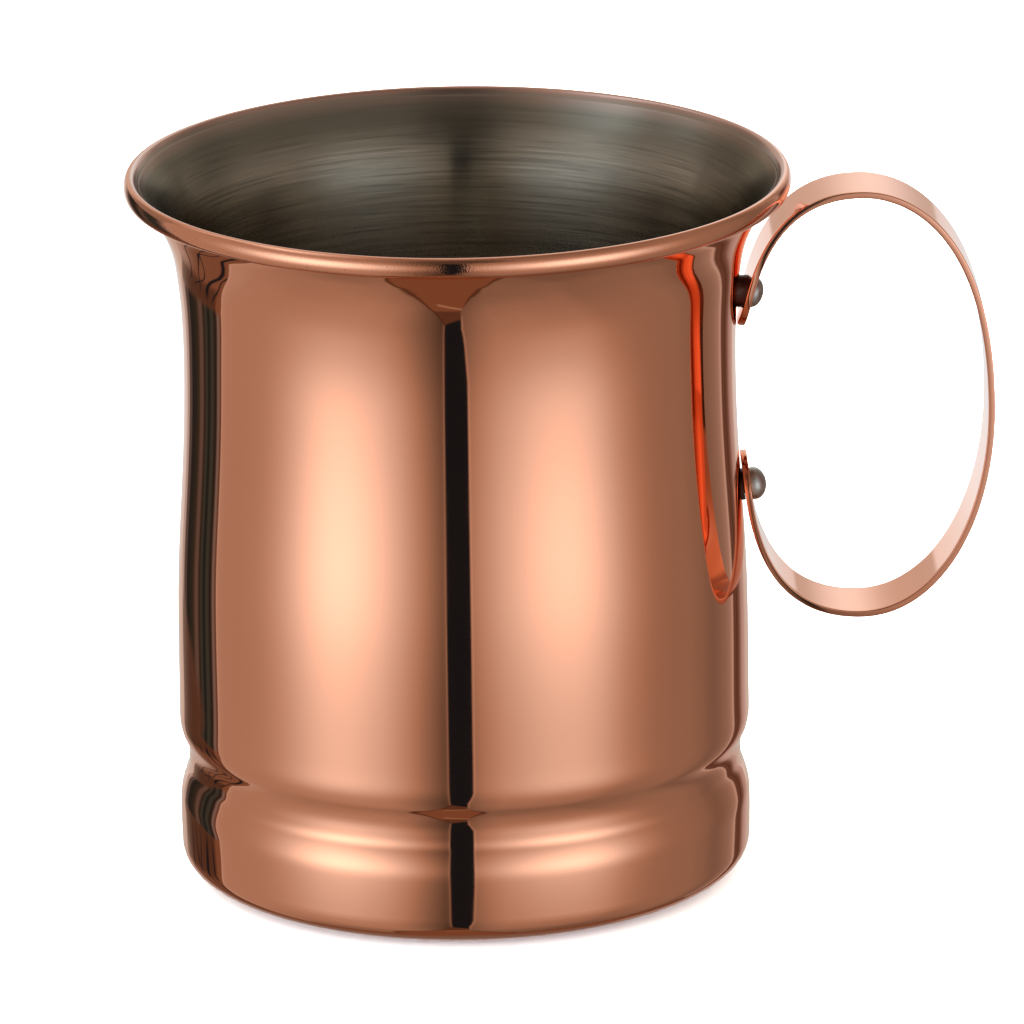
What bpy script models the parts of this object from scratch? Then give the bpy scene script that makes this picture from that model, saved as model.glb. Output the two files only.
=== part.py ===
"""Copper mug with a riveted strap handle.

A polished copper cup is spun over a thin steel liner. A groove rolled in near the base locks
the two together, and the copper is curled outwards at the mouth. The handle is one bent copper
strap with rounded ends, held by two dome-headed steel rivets. Each rivet passes through a
spacer, the two walls and a washer, and is closed over inside the cup.

Metres, +Z up. The origin is the centre of the flat base, and the handle points along +X.
"""

import math

import bmesh
import bpy
import numpy as np
from mathutils import Matrix, Vector
from mathutils.geometry import interpolate_bezier

MM = 0.001

# Cup, in millimetres
MUG_HEIGHT = 103.3
MOUTH_RADIUS = 47.5
COPPER_SHEET = 0.5
LINER_SHEET = 0.4
LINER_GAP = 0.3
BASE_FLAT_RADIUS = 32.2
CORNER_HEIGHT = 4.65
CORNER_SQUARENESS = 2.6

# Outside of the copper wall above the base corner: radius and height
WALL_STATIONS = (
    (40.88, 4.65),  # top of the base corner
    (41.10, 8.3),  # fullest part of the foot band
    (40.94, 11.9),
    (40.18, 14.5),
    (39.81, 17.1),  # bottom of the rolled groove
    (39.95, 18.9),
    (40.69, 20.7),
    (41.09, 23.4),  # shoulder over the groove
    (41.07, 33.0),
    (40.77, 46.5),
    (40.15, 56.8),
    (39.62, 67.2),
    (39.48, 76.5),  # waist
    (39.72, 84.0),
    (40.22, 88.9),
    (41.19, 93.5),  # start of the flare
    (43.20, 97.9),
)

# Rolled lip: an upright oval curl, open on its underside
LIP_HALF_WIDTH = 0.94
LIP_HALF_HEIGHT = 1.5
LIP_START_DEG = 120.0
LIP_END_DEG = -120.0

# Top edge of the liner, tucked in just below the curl
LINER_EDGE_RADIUS = 45.4
LINER_EDGE_HEIGHT = 102.25

# Handle strap, in the plane y = 0: x, z and a handle length each way along the tangent
STRAP_WIDTH = 11.4
STRAP_THICKNESS = 0.95
UPPER_END = (40.32, 80.1)
UPPER_END_LEAN_DEG = 11.0
UPPER_END_PULL = 6.3
TOP_OF_LOOP = (57.3, 100.0)
TOP_PULLS = (14.0, 8.0)
OUTSIDE_OF_LOOP = (75.8, 68.0)
OUTSIDE_PULLS = (24.5, 15.8)
BOTTOM_OF_LOOP = (56.9, 37.7)
BOTTOM_PULLS = (11.6, 15.9)
LOWER_END = (40.86, 60.8)
LOWER_END_LEAN_DEG = 7.0
LOWER_END_PULL = 5.0

# Rivets, spacers and washers
UPPER_RIVET_Z = 84.65
LOWER_RIVET_Z = 55.85
SHANK_RADIUS = 1.3
HOLE_RADIUS = 1.6
SPACER_RADIUS = 2.3
WASHER_RADIUS = 3.0
WASHER_THICKNESS = 0.5
UPPER_HEAD = {"radius": 2.22, "side": 0.35, "height": 1.85}
LOWER_HEAD = {"radius": 2.35, "side": 0.55, "height": 2.3}
CLOSED_HEAD = {"radius": 2.2, "side": 0.2, "height": 1.1}
SEAT_GAP = 0.2
HOLE_CUTTER_REACH = 6.0
SPACER_OVERRUN = 1.0
LEAN_SAMPLE = 0.5

# Smoothness of the meshes
CUP_STEPS = 36
RIVET_STEPS = 16
WALL_STEP = 7.0
FINE_WALL_STEP = 0.25
CORNER_POINTS = 5
LIP_POINTS = 9
STRAP_STATIONS = 52
STRAP_COLUMNS = 6
STRAP_SPAN_POINTS = 120
STRAP_EDGE_ANGLE_DEG = 40.0
DOME_POINTS = 6

COPPER = {"color": (0.86, 0.44, 0.31, 1.0), "roughness": 0.12}
STRAP_COPPER = {"color": (0.88, 0.50, 0.37, 1.0), "roughness": 0.22}
BRUSHED_STEEL = {"color": (0.36, 0.34, 0.31, 1.0), "roughness": 0.38}
RIVET_STEEL = {"color": (0.42, 0.41, 0.40, 1.0), "roughness": 0.45}


def clear_scene():
    for obj in list(bpy.data.objects):
        bpy.data.objects.remove(obj, do_unlink=True)


def new_collection(name):
    collection = bpy.data.collections.new(name)
    bpy.context.scene.collection.children.link(collection)
    return collection


def metal(name, look):
    material = bpy.data.materials.new(name)
    material.use_nodes = True
    shader = material.node_tree.nodes["Principled BSDF"]
    shader.inputs["Base Color"].default_value = look["color"]
    shader.inputs["Roughness"].default_value = look["roughness"]
    shader.inputs["Metallic"].default_value = 1.0
    material.diffuse_color = look["color"]
    return material


def natural_cubic(points, longest_step):
    """Points along a natural cubic through (radius, height) points, at most longest_step apart in height."""
    radius = np.array([p[0] for p in points])
    height = np.array([p[1] for p in points])
    step = np.diff(height)
    system = np.eye(len(points))
    right = np.zeros(len(points))
    for i in range(1, len(points) - 1):
        system[i, i - 1 : i + 2] = step[i - 1], 2 * (step[i - 1] + step[i]), step[i]
        right[i] = 6 * ((radius[i + 1] - radius[i]) / step[i] - (radius[i] - radius[i - 1]) / step[i - 1])
    bend = np.linalg.solve(system, right)
    heights = [height[0]]
    for low, gap in zip(height, step):
        pieces = math.ceil(gap / longest_step)
        heights.extend(low + gap * (i + 1) / pieces for i in range(pieces))
    heights = np.array(heights)
    span = np.clip(np.searchsorted(height, heights) - 1, 0, len(step) - 1)
    width = step[span]
    ahead = height[span + 1] - heights
    behind = heights - height[span]
    radii = (
        (bend[span] * ahead**3 + bend[span + 1] * behind**3) / (6 * width)
        + (radius[span] / width - bend[span] * width / 6) * ahead
        + (radius[span + 1] / width - bend[span + 1] * width / 6) * behind
    )
    return list(zip(radii, heights))


def wall_radius(height):
    """Outside radius of the copper wall at a height."""
    wall = natural_cubic(WALL_STATIONS, FINE_WALL_STEP)
    return float(np.interp(height, [z for _, z in wall], [r for r, _ in wall]))


def base_corner():
    """Outside of the base: from the axis, over the flat, up round the corner."""
    drop = WALL_STATIONS[0][0] - BASE_FLAT_RADIUS
    points = [(0.0, 0.0), (BASE_FLAT_RADIUS * 0.5, 0.0)]
    for i in range(CORNER_POINTS):
        turn = math.pi / 2 * i / CORNER_POINTS
        out = math.sin(turn) ** (2 / CORNER_SQUARENESS)
        up = math.cos(turn) ** (2 / CORNER_SQUARENESS)
        points.append((BASE_FLAT_RADIUS + drop * out, CORNER_HEIGHT * (1 - up)))
    return points


def lip_arc(start_deg, end_deg, count):
    """Outside of the curl, from its inner side over the top to the tucked edge."""
    centre_r = MOUTH_RADIUS - LIP_HALF_WIDTH
    centre_z = MUG_HEIGHT - LIP_HALF_HEIGHT
    points = []
    for i in range(count):
        turn = math.radians(start_deg + (end_deg - start_deg) * i / (count - 1))
        out, up = LIP_HALF_WIDTH * math.cos(turn), LIP_HALF_HEIGHT * math.sin(turn)
        points.append((centre_r + out, centre_z + up))
    return points


def offset(points, distance):
    """The line moved sideways by distance, to the left of its direction of travel."""
    line = np.array(points)
    along = np.gradient(line, axis=0)
    along /= np.linalg.norm(along, axis=1)[:, None]
    if line[0][0] == 0.0:
        along[0] = (1.0, 0.0)
    moved = line + distance * np.column_stack([-along[:, 1], along[:, 0]])
    return [tuple(p) for p in moved]


def copper_sides():
    """Outer and inner lines of the copper sheet, from the axis to the edge of the curl."""
    outer_wall = base_corner() + natural_cubic(WALL_STATIONS, WALL_STEP)
    inner_wall = offset(outer_wall, COPPER_SHEET)
    curl = lip_arc(LIP_START_DEG, LIP_END_DEG, LIP_POINTS)
    curl_inside = offset(curl, -COPPER_SHEET)
    # The curl's outside is the side of the sheet that faces into the cup.
    return outer_wall + curl_inside, inner_wall + curl


def liner_sides():
    """Outer and inner lines of the liner, which follows the copper from the axis to the mouth."""
    copper_inside = offset(base_corner() + natural_cubic(WALL_STATIONS, WALL_STEP), COPPER_SHEET)
    path = copper_inside + [(LINER_EDGE_RADIUS, LINER_EDGE_HEIGHT)]
    return offset(path, LINER_GAP), offset(path, LINER_GAP + LINER_SHEET)


def outline_of(sides):
    """A closed outline that starts and ends on the axis and runs down its outer side."""
    outer, inner = sides
    return list(inner) + list(reversed(outer))


def turned(name, outline, steps, collection, material=None):
    """A solid turned about Z from (radius, height) points in millimetres."""
    mesh = bpy.data.meshes.new(name)
    points = [(r * MM, 0.0, z * MM) for r, z in outline]
    edges = [(i, i + 1) for i in range(len(points) - 1)]
    mesh.from_pydata(points, edges, [])
    obj = bpy.data.objects.new(name, mesh)
    collection.objects.link(obj)
    screw = obj.modifiers.new("Turn", "SCREW")
    screw.angle = math.tau
    screw.steps = steps
    screw.render_steps = steps
    screw.use_merge_vertices = True
    screw.merge_threshold = 0.00001
    screw.use_smooth_shade = True
    if material:
        mesh.materials.append(material)
    return obj


def cutter(obj):
    obj.hide_render = True
    obj.display_type = "WIRE"
    return obj


def boolean(obj, other, operation="DIFFERENCE"):
    modifier = obj.modifiers.new(f"{operation.title()} {other.name}", "BOOLEAN")
    modifier.operation = operation
    modifier.object = other
    modifier.solver = "EXACT"


def along_x(x, z, lean=0.0):
    """Turns a piece's own Z to point along +X, leaning down by lean radians, at (x, 0, z) mm."""
    place = Matrix.Translation(Vector((x, 0.0, z)) * MM)
    return place @ Matrix.Rotation(math.pi / 2 + lean, 4, "Y")


def strap_path():
    """The strap's centre line in the plane y = 0, from its upper end round to its lower end."""

    def point(x, z):
        return Vector((x, 0.0, z))

    upper, top, outside = point(*UPPER_END), point(*TOP_OF_LOOP), point(*OUTSIDE_OF_LOOP)
    bottom, lower = point(*BOTTOM_OF_LOOP), point(*LOWER_END)
    up, down = math.radians(UPPER_END_LEAN_DEG), math.radians(LOWER_END_LEAN_DEG)
    leave = UPPER_END_PULL * point(math.sin(up), math.cos(up))
    arrive = LOWER_END_PULL * point(math.sin(down), -math.cos(down))
    spans = (
        (upper, upper + leave, top - point(TOP_PULLS[0], 0), top),
        (top, top + point(TOP_PULLS[1], 0), outside + point(0, OUTSIDE_PULLS[0]), outside),
        (outside, outside - point(0, OUTSIDE_PULLS[1]), bottom + point(BOTTOM_PULLS[0], 0), bottom),
        (bottom, bottom - point(BOTTOM_PULLS[1], 0), lower + arrive, lower),
    )
    path = [upper]
    for start, pull_out, pull_in, end in spans:
        path.extend(interpolate_bezier(start, pull_out, pull_in, end, STRAP_SPAN_POINTS)[1:])
    return np.array([(p.x, p.z) for p in path])


def strap_at_height(height, upper):
    """Centre x of the strap at a rivet's height, and its lean from upright in radians."""
    path = strap_path()
    quarter = path[: len(path) // 4] if upper else path[-(len(path) // 4) :][::-1]
    order = np.argsort(quarter[:, 1])
    line = quarter[order]
    x = float(np.interp(height, line[:, 1], line[:, 0]))
    x_above = float(np.interp(height + LEAN_SAMPLE, line[:, 1], line[:, 0]))
    return x, math.atan2(x_above - x, LEAN_SAMPLE)


def strap_ribbon(name, thickness, collection, material=None):
    """The strap: a flat grid with half-round ends, wrapped along the path and made solid."""
    path = strap_path()
    step = np.linalg.norm(np.diff(path, axis=0), axis=1)
    travelled = np.concatenate([[0.0], np.cumsum(step)])
    length = travelled[-1]
    half = STRAP_WIDTH / 2
    ribbon = bmesh.new()
    bmesh.ops.create_grid(ribbon, x_segments=STRAP_STATIONS, y_segments=STRAP_COLUMNS, size=1.0)
    for vertex in ribbon.verts:
        # Columns are closer together near the edges, so that the round ends are even.
        side = math.sin(vertex.co.y * math.pi / 2)
        end_inset = half - math.sqrt(max(half**2 - (side * half) ** 2, 0.0))
        share = (vertex.co.x + 1) / 2
        place = end_inset + share * (length - 2 * end_inset)
        x = np.interp(place, travelled, path[:, 0])
        z = np.interp(place, travelled, path[:, 1])
        vertex.co = Vector((x, side * half, z)) * MM
    mesh = bpy.data.meshes.new(name)
    ribbon.to_mesh(mesh)
    ribbon.free()
    mesh.shade_smooth()
    mesh.set_sharp_from_angle(angle=math.radians(STRAP_EDGE_ANGLE_DEG))
    obj = bpy.data.objects.new(name, mesh)
    collection.objects.link(obj)
    solid = obj.modifiers.new("Thickness", "SOLIDIFY")
    solid.thickness = thickness * MM
    solid.offset = 0.0
    solid.use_even_offset = True
    if material:
        mesh.materials.append(material)
    return obj


def dome(head, base):
    """Points of a dome head from its rim to its top, standing on the height base."""
    rise = head["height"] - head["side"]
    points = [(head["radius"], base)]
    for i in range(DOME_POINTS):
        turn = math.pi / 2 * i / DOME_POINTS
        points.append((head["radius"] * math.cos(turn), base + head["side"] + rise * math.sin(turn)))
    points.append((0.0, base + head["height"]))
    return points


def fit_handle_joint(prefix, height, head, upper, parts, cutters, materials):
    """One rivet with its spacer and washer, and the cutters for its holes."""
    strap_x, lean = strap_at_height(height, upper)
    wall = wall_radius(height)
    inside = wall - COPPER_SHEET - LINER_GAP - LINER_SHEET
    washer_face = inside - WASHER_RADIUS**2 / (2 * inside) - SEAT_GAP
    closed_face = washer_face - WASHER_THICKNESS - SEAT_GAP
    seat = STRAP_THICKNESS / 2 + SEAT_GAP

    reach = HOLE_CUTTER_REACH
    drill = [(0.0, reach), (HOLE_RADIUS, reach), (HOLE_RADIUS, -reach), (0.0, -reach)]
    hole = turned(f"{prefix}_hole", drill, RIVET_STEPS, cutters)
    hole.matrix_world = along_x((strap_x + inside) / 2, height)
    cutter(hole)

    formed = list(reversed(dome(head, seat))) + [(0.0, seat)]
    outer_head = cutter(turned(f"{prefix}_head_form", formed, RIVET_STEPS, cutters))
    outer_head.matrix_world = along_x(strap_x, height, lean)
    closed = [(r, -z) for r, z in dome(CLOSED_HEAD, 0.0)]
    shank_end = strap_x + seat + head["side"] - closed_face
    shank = [(0.0, shank_end), (SHANK_RADIUS, shank_end), (SHANK_RADIUS, 0.0)]
    rivet = turned(f"{prefix}_rivet", shank + closed, RIVET_STEPS, parts, materials["rivet"])
    rivet.matrix_world = along_x(closed_face, height)
    boolean(rivet, outer_head, "UNION")

    washer_outline = [
        (HOLE_RADIUS, WASHER_THICKNESS),
        (WASHER_RADIUS, WASHER_THICKNESS),
        (WASHER_RADIUS, 0.0),
        (HOLE_RADIUS, 0.0),
        (HOLE_RADIUS, WASHER_THICKNESS),
    ]
    washer = turned(f"{prefix}_washer", washer_outline, RIVET_STEPS, parts, materials["rivet"])
    washer.matrix_world = along_x(washer_face - WASHER_THICKNESS, height)

    # The spacer starts too long at both ends, and is then trimmed to the wall and the strap.
    span = strap_x - wall
    spacer_outline = [
        (HOLE_RADIUS, span),
        (SPACER_RADIUS, span),
        (SPACER_RADIUS, -SPACER_OVERRUN),
        (HOLE_RADIUS, -SPACER_OVERRUN),
        (HOLE_RADIUS, span),
    ]
    spacer = turned(f"{prefix}_spacer", spacer_outline, RIVET_STEPS, parts, materials["rivet"])
    spacer.matrix_world = along_x(wall, height)
    return hole, spacer


def build():
    clear_scene()
    parts = new_collection("copper_mug")
    cutters = new_collection("cutters")
    materials = {
        "copper": metal("polished_copper", COPPER),
        "strap": metal("strap_copper", STRAP_COPPER),
        "liner": metal("brushed_steel", BRUSHED_STEEL),
        "rivet": metal("rivet_steel", RIVET_STEEL),
    }

    shell = turned("copper_shell", outline_of(copper_sides()), CUP_STEPS, parts, materials["copper"])
    liner = turned("steel_liner", outline_of(liner_sides()), CUP_STEPS, parts, materials["liner"])
    strap = strap_ribbon("handle_strap", STRAP_THICKNESS, parts, materials["strap"])

    around_strap = cutter(strap_ribbon("strap_clearance", STRAP_THICKNESS + 2 * SEAT_GAP, cutters))
    wall_points = [(r + SEAT_GAP, z) for r, z in natural_cubic(WALL_STATIONS, WALL_STEP)]
    bottom, top = wall_points[0][1], wall_points[-1][1]
    around_wall = turned(
        "wall_clearance", [(0.0, top)] + list(reversed(wall_points)) + [(0.0, bottom)], CUP_STEPS, cutters
    )
    cutter(around_wall)

    joints = (
        ("upper", UPPER_RIVET_Z, UPPER_HEAD, True),
        ("lower", LOWER_RIVET_Z, LOWER_HEAD, False),
    )
    for prefix, height, head, upper in joints:
        hole, spacer = fit_handle_joint(prefix, height, head, upper, parts, cutters, materials)
        for pierced in (shell, liner, strap):
            boolean(pierced, hole)
        boolean(spacer, around_wall)
        boolean(spacer, around_strap)


build()
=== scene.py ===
"""Looks of the copper mug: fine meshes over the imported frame, metals, studio and camera.

The frame is in metres, +Z up, with the handle along +X. Dimensions below are in millimetres and
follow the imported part. Every visible piece is rebuilt here as a smooth mesh with its own metal.
"""

import math

import bmesh
import bpy
import numpy as np
from mathutils import Matrix, Vector
from mathutils.geometry import interpolate_bezier


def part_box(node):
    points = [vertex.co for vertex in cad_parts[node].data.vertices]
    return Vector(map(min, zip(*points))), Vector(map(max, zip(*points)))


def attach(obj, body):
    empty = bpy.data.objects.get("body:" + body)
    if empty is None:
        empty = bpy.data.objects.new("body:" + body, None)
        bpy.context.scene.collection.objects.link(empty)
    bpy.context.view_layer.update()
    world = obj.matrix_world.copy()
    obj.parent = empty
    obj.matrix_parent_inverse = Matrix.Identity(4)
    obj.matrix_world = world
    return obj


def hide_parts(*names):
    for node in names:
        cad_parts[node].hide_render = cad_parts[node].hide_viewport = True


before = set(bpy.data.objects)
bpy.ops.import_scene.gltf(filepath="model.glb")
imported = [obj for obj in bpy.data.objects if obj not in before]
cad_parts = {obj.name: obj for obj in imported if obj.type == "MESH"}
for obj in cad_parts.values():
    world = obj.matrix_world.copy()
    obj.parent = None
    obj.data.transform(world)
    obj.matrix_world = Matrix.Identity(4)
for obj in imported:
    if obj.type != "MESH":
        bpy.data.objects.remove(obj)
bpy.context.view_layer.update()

MM = 0.001
ROOT = "root"

# Cup sheet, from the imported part
SHELL_LOW, SHELL_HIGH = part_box("copper_shell")
MUG_HEIGHT = SHELL_HIGH.z / MM
MOUTH_RADIUS = SHELL_HIGH.x / MM
COPPER_SHEET = 0.5
LINER_SHEET = 0.4
LINER_GAP = 0.3
BASE_FLAT_RADIUS = 32.2
CORNER_HEIGHT = 4.65
CORNER_SQUARENESS = 2.6
# Outside of the wall: (radius, height). From 46.5 up most rows are a rounded fit to the outline in
# the photo. Below that the radii were reshaped by hand, some at heights that a script printed.
WALL_STATIONS = (
    (41.05, 4.65),
    (41.09, 6.2),
    (41.115, 8.2),
    (41.11, 10.1),
    (41.07, 11.1),
    (40.94, 12.04),
    (40.66, 13.12),
    (40.30, 14.19),
    (40.095, 14.73),
    (39.93, 15.29),
    (39.84, 15.9),
    (39.81, 16.6),
    (39.79, 17.6),
    (39.91, 18.9),
    (40.13, 19.6),
    (40.45, 20.35),
    (40.72, 20.95),
    (40.91, 21.6),
    (41.02, 22.25),
    (41.075, 22.95),
    (41.09, 23.8),
    (41.075, 25.0),
    (41.06, 27.0),
    (41.05, 33.0),
    (40.77, 46.5),
    (40.15, 56.8),
    (39.62, 67.2),
    (39.48, 76.5),
    (39.72, 84.0),
    (40.22, 88.9),
    (41.19, 93.5),
    (43.20, 97.9),
)
LIP_HALF_WIDTH = 0.94
LIP_HALF_HEIGHT = 1.5
CURL_START_DEG = 138.0
CURL_END_DEG = -160.0
LINER_EDGE_RADIUS = 45.4
LINER_EDGE_HEIGHT = 102.25
LINER_EDGE_GAP = 0.03
LINER_EDGE_SHEET = 0.12
LINER_CLOSING_HEIGHT = 97.5

# Handle strap, in the plane y = 0
STRAP_WIDTH = 11.4
STRAP_THICKNESS = 0.95
STRAP_EDGE_ROUND = 0.16
# The side faces lean, most at the ends: (share of the length from the upper end, lean)
STRAP_EDGE_LEANS = (
    (0.0, 0.24),
    (0.058, 0.24),
    (0.083, 0.085),
    (0.16, 0.085),
    (0.20, 0.04),
    (0.74, 0.04),
    (0.80, 0.22),
    (1.0, 0.26),
)
UPPER_END = (40.06, 79.75)
UPPER_END_LEAN_DEG = 13.0
UPPER_END_PULL = 6.3
TOP_OF_LOOP = (57.3, 100.0)
TOP_PULLS = (14.0, 8.0)
OUTSIDE_OF_LOOP = (75.79, 68.0)
OUTSIDE_PULLS = (24.5, 15.8)
BOTTOM_OF_LOOP = (56.9, 37.7)
BOTTOM_PULLS = (11.6, 15.9)
LOWER_END = (40.44, 60.8)
LOWER_END_LEAN_DEG = 8.5
LOWER_END_PULL = 5.0

# Rivets, spacers and washers
SHANK_RADIUS = 1.3
HOLE_RADIUS = 1.6
SPACER_RADIUS = 2.3
WASHER_RADIUS = 3.0
WASHER_THICKNESS = 0.5
HEADS = {
    "upper": {"z": 84.65, "radius": 2.22, "side": 0.35, "height": 1.85},
    "lower": {"z": 55.85, "radius": 2.35, "side": 0.55, "height": 2.3},
}
CLOSED_HEAD = {"radius": 2.2, "side": 0.2, "height": 1.1}

# Fineness of the meshes
TURN_STEPS = 240
WALL_STEP = 1.2
CORNER_POINTS = 20
CURL_POINTS = 44
STRAP_STATIONS = 420
STRAP_COLUMNS = 8
STRAP_ROUND_STEPS = 5
STRAP_END_STEPS = 20
RIVET_STEPS = 72
SHARP_ANGLE_DEG = 35.0

# Camera
VIEW_AZIMUTH_DEG = -1.1
VIEW_ELEVATION_DEG = 17.067
VIEW_ROLL_DEG = -0.699
VIEW_DISTANCE = 1531.17
VIEW_TARGET = (7.207, -0.138, 52.297)
SENSOR_WIDTH = 36.0
LENS = 375.09


# ---------------------------------------------------------------- lines in the radius-height plane


def natural_cubic(points, longest_step):
    """Points on a natural cubic through (radius, height) points, two or more to each span."""
    radius = np.array([p[0] for p in points])
    height = np.array([p[1] for p in points])
    step = np.diff(height)
    system = np.eye(len(points))
    right = np.zeros(len(points))
    for i in range(1, len(points) - 1):
        system[i, i - 1 : i + 2] = step[i - 1], 2 * (step[i - 1] + step[i]), step[i]
        slopes = (radius[i + 1] - radius[i]) / step[i], (radius[i] - radius[i - 1]) / step[i - 1]
        right[i] = 6 * (slopes[0] - slopes[1])
    bend = np.linalg.solve(system, right)
    heights = [height[0]]
    for low, gap in zip(height, step):
        pieces = max(2, math.ceil(gap / longest_step))
        heights.extend(low + gap * (i + 1) / pieces for i in range(pieces))
    heights = np.array(heights)
    span = np.clip(np.searchsorted(height, heights) - 1, 0, len(step) - 1)
    width = step[span]
    ahead = height[span + 1] - heights
    behind = heights - height[span]
    radii = (
        (bend[span] * ahead**3 + bend[span + 1] * behind**3) / (6 * width)
        + (radius[span] / width - bend[span] * width / 6) * ahead
        + (radius[span + 1] / width - bend[span + 1] * width / 6) * behind
    )
    return list(zip(radii, heights))


def base_corner():
    """Outside of the base: from the axis, over the flat, up round the corner."""
    drop = WALL_STATIONS[0][0] - BASE_FLAT_RADIUS
    points = [(BASE_FLAT_RADIUS * i / 12, 0.0) for i in range(12)]
    for i in range(CORNER_POINTS):
        turn = math.pi / 2 * i / CORNER_POINTS
        out = math.sin(turn) ** (2 / CORNER_SQUARENESS)
        up = math.cos(turn) ** (2 / CORNER_SQUARENESS)
        points.append((BASE_FLAT_RADIUS + drop * out, CORNER_HEIGHT * (1 - up)))
    return points


def offset(points, distance):
    """The line moved to the left of its travel, by one distance or by one for each point."""
    line = np.array(points)
    along = np.gradient(line, axis=0)
    along /= np.linalg.norm(along, axis=1)[:, None]
    if line[0][0] == 0.0:
        along[0] = (1.0, 0.0)
    moved = line + np.reshape(distance, (-1, 1)) * np.column_stack([-along[:, 1], along[:, 0]])
    return [tuple(p) for p in moved]


def lip_point(turn_deg, inset=0.0):
    """A point on the upright oval of the rolled lip, or inset inside it."""
    turn = math.radians(turn_deg)
    normal = Vector((math.cos(turn) / LIP_HALF_WIDTH, math.sin(turn) / LIP_HALF_HEIGHT))
    normal.normalize()
    r = MOUTH_RADIUS - LIP_HALF_WIDTH + LIP_HALF_WIDTH * math.cos(turn)
    z = MUG_HEIGHT - LIP_HALF_HEIGHT + LIP_HALF_HEIGHT * math.sin(turn)
    return Vector((r, z)) - inset * normal


def joined(start, start_way, end, end_way, count):
    """Points of a smooth curve between two points that leave and arrive in given directions."""
    pull = (end - start).length / 3
    lift = lambda p: Vector((p[0], p[1], 0.0))
    curve = interpolate_bezier(
        lift(start),
        lift(start + start_way.normalized() * pull),
        lift(end - end_way.normalized() * pull),
        lift(end),
        count,
    )
    return [(p.x, p.y) for p in curve]


def curl_line(inset):
    """The rolled lip from its inner side over the top to the tucked edge."""
    turns = np.linspace(CURL_START_DEG, CURL_END_DEG, CURL_POINTS)
    return [lip_point(t, inset) for t in turns]


def sheet_to_lip(distance, curl):
    """The wall moved inwards by distance, then led smoothly into a curl line."""
    wall = offset(base_corner() + natural_cubic(WALL_STATIONS, WALL_STEP), distance)
    end = Vector(wall[-1])
    way = end - Vector(wall[-2])
    bridge = joined(end, way, curl[0], curl[1] - curl[0], 16)
    return wall + bridge[1:] + [tuple(p) for p in curl[1:]]


def rounded_end(outer, inner, count=7):
    """Points of a half-round between the last points of two lines, outer first."""
    a, b = Vector(outer[-1]), Vector(inner[-1])
    ahead = (a - Vector(outer[-2]) + b - Vector(inner[-2])).normalized()
    centre, half = (a + b) / 2, (a - b) / 2
    points = []
    for i in range(1, count):
        turn = math.pi * i / count
        points.append(tuple(centre + half * math.cos(turn) + ahead * half.length * math.sin(turn)))
    return points


def wall_radius(height):
    """Outside radius of the copper wall at a height."""
    wall = natural_cubic(WALL_STATIONS, WALL_STEP)
    return float(np.interp(height, [z for _, z in wall], [r for r, _ in wall]))


# ---------------------------------------------------------------- building helpers


def finished(obj, name, material, sharp_deg=SHARP_ANGLE_DEG):
    """Freezes an object's modifiers into its mesh, shades it and rides it on the cup."""
    graph = bpy.context.evaluated_depsgraph_get()
    graph.update()
    mesh = bpy.data.meshes.new_from_object(obj.evaluated_get(graph))
    mesh.transform(obj.matrix_world)
    bpy.data.objects.remove(obj, do_unlink=True)
    mesh.name = name
    mesh.shade_smooth()
    mesh.set_sharp_from_angle(angle=math.radians(sharp_deg))
    mesh.materials.clear()
    mesh.materials.append(material)
    piece = bpy.data.objects.new(name, mesh)
    bpy.context.scene.collection.objects.link(piece)
    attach(piece, ROOT)
    return piece


def turned(name, outline, steps):
    """A solid turned about Z from an outline that runs down its outer side."""
    mesh = bpy.data.meshes.new(name)
    mesh.from_pydata(
        [(p[0] * MM, 0.0, p[1] * MM) for p in outline],
        [(i, i + 1) for i in range(len(outline) - 1)],
        [],
    )
    obj = bpy.data.objects.new(name, mesh)
    bpy.context.scene.collection.objects.link(obj)
    screw = obj.modifiers.new("Turn", "SCREW")
    screw.angle = math.tau
    screw.steps = screw.render_steps = steps
    screw.use_merge_vertices = True
    screw.merge_threshold = 1e-6
    return obj


def boolean(obj, other, operation):
    modifier = obj.modifiers.new(operation, "BOOLEAN")
    modifier.operation = operation
    modifier.object = other
    modifier.solver = "EXACT"


def along_x(x, z, lean=0.0):
    """Turns a piece's own Z to point along +X, leaning down by lean radians, at (x, 0, z) mm."""
    place = Matrix.Translation(Vector((x, 0.0, z)) * MM)
    return place @ Matrix.Rotation(math.pi / 2 + lean, 4, "Y")


# ---------------------------------------------------------------- strap


def strap_path():
    """The strap's centre line in the plane y = 0, from its upper end round to its lower end."""

    def point(x, z):
        return Vector((x, 0.0, z))

    upper, top, outside = point(*UPPER_END), point(*TOP_OF_LOOP), point(*OUTSIDE_OF_LOOP)
    bottom, lower = point(*BOTTOM_OF_LOOP), point(*LOWER_END)
    up, down = math.radians(UPPER_END_LEAN_DEG), math.radians(LOWER_END_LEAN_DEG)
    leave = UPPER_END_PULL * point(math.sin(up), math.cos(up))
    arrive = LOWER_END_PULL * point(math.sin(down), -math.cos(down))
    spans = (
        (upper, upper + leave, top - point(TOP_PULLS[0], 0), top),
        (top, top + point(TOP_PULLS[1], 0), outside + point(0, OUTSIDE_PULLS[0]), outside),
        (outside, outside - point(0, OUTSIDE_PULLS[1]), bottom + point(BOTTOM_PULLS[0], 0), bottom),
        (bottom, bottom - point(BOTTOM_PULLS[1], 0), lower + arrive, lower),
    )
    path = [upper]
    for start, pull_out, pull_in, end in spans:
        path.extend(interpolate_bezier(start, pull_out, pull_in, end, 400)[1:])
    return np.array([(p.x, p.z) for p in path])


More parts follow.
